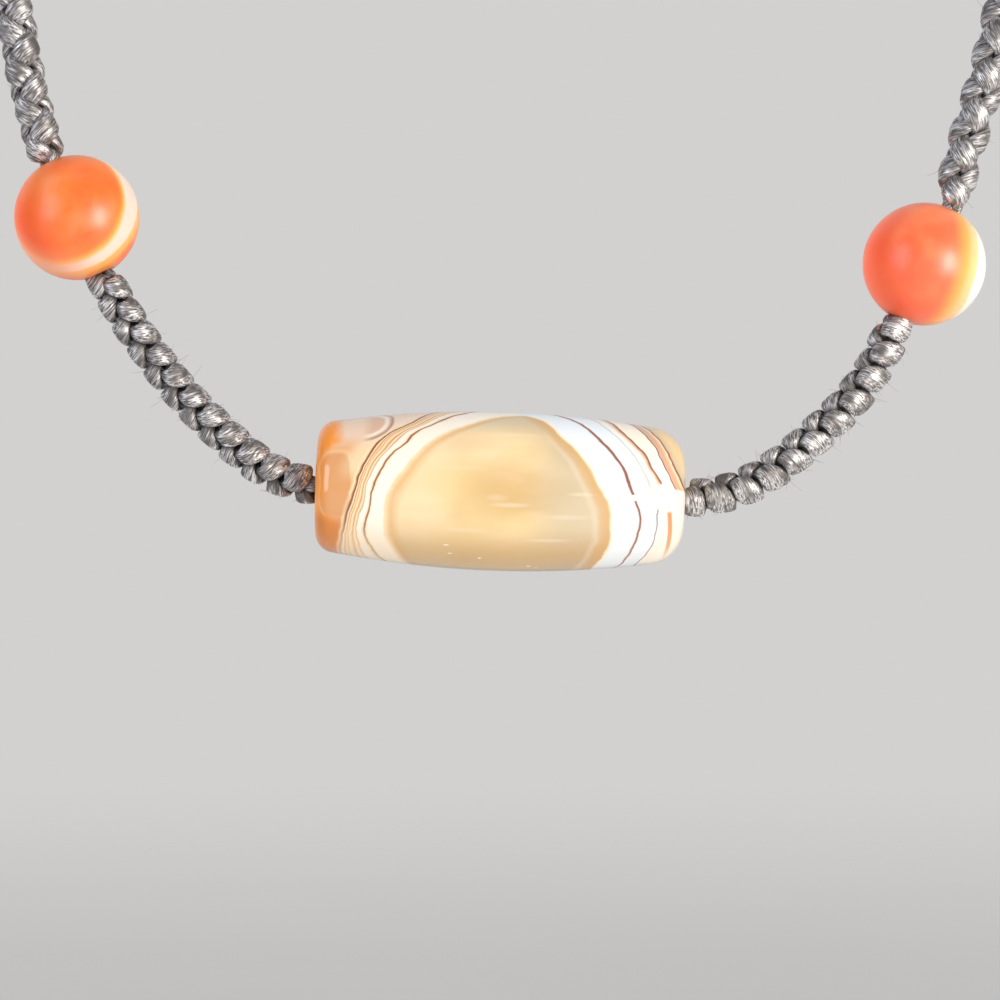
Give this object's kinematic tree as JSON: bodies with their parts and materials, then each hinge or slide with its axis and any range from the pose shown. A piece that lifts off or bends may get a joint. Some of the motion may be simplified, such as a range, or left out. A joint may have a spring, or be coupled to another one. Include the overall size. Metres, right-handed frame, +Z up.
{
  "type": "agate pendant necklace",
  "caption": "Necklace of a banded agate barrel between round orange agate beads on a knotted and braided grey cord, hung as a loop.",
  "frame": {"origin": "where the loop hangs at the nape of the neck, on the underside of the joining sleeve", "axes": "+Z up, the loop lies in the XZ plane, -Y is the front that the picture shows"},
  "size_m": [0.1278, 0.0154, 0.2444],
  "materials": {
    "barrel_agate": "polished banded agate, honey, white and rust brown",
    "orange_agate": "satin orange agate with a pale stripe",
    "knotted_thread": "silky dark grey knotting cord",
    "braided_thread": "silky dark grey braided cord",
    "sleeve_thread": "plain wrapped dark grey cord"
  },
  "bodies": {
    "root": {"agate_barrel": "barrel_agate", "round_bead_left": "orange_agate", "round_bead_right": "orange_agate", "knot_strand_a": "knotted_thread", "knot_strand_b": "knotted_thread", "braid_left": "braided_thread", "braid_right": "braided_thread", "nape_sleeve": "sleeve_thread"}
  },
  "joints": []
}
